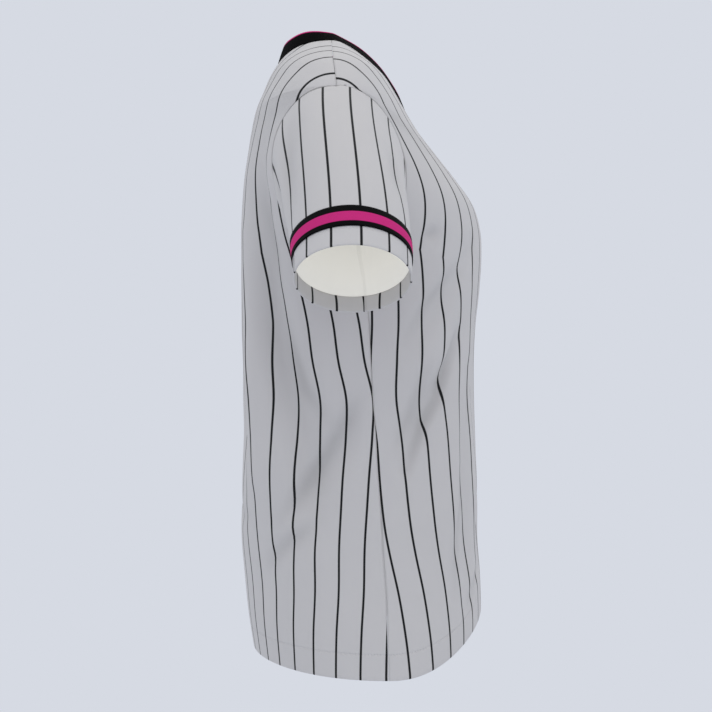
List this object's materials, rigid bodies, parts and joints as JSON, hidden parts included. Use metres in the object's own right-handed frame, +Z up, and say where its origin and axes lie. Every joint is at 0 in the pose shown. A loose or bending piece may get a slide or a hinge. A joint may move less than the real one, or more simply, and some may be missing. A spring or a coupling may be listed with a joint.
{
  "type": "sports jersey",
  "caption": "Hollow short-sleeved V-neck sports jersey of pinstriped knit, filled out as worn, with set-in sleeves, curved hem and contrast neckband and sleeve braids.",
  "frame": {"origin": "middle of the neck opening, at the height of the points where the shoulder seams meet the neckband: where the wearer's neck and shoulders hold the garment", "axes": "+Z up, -Y towards the wearer's front, -X towards the wearer's right sleeve"},
  "size_m": [0.673, 0.262, 0.6639],
  "materials": {
    "pinstriped_knit": "pale grey polyester knit with thin near-black pinstripes, soft sheen",
    "neckband_rib": "near-black rib, magenta along its folded top edge",
    "sleeve_braid": "flat knitted braid, magenta between two black edges"
  },
  "bodies": {
    "root": {"front": "pinstriped_knit", "back": "pinstriped_knit", "sleeve_left": "pinstriped_knit", "sleeve_right": "pinstriped_knit", "sleeve_braid_left": "sleeve_braid", "sleeve_braid_right": "sleeve_braid", "neckband": "neckband_rib"}
  },
  "joints": []
}
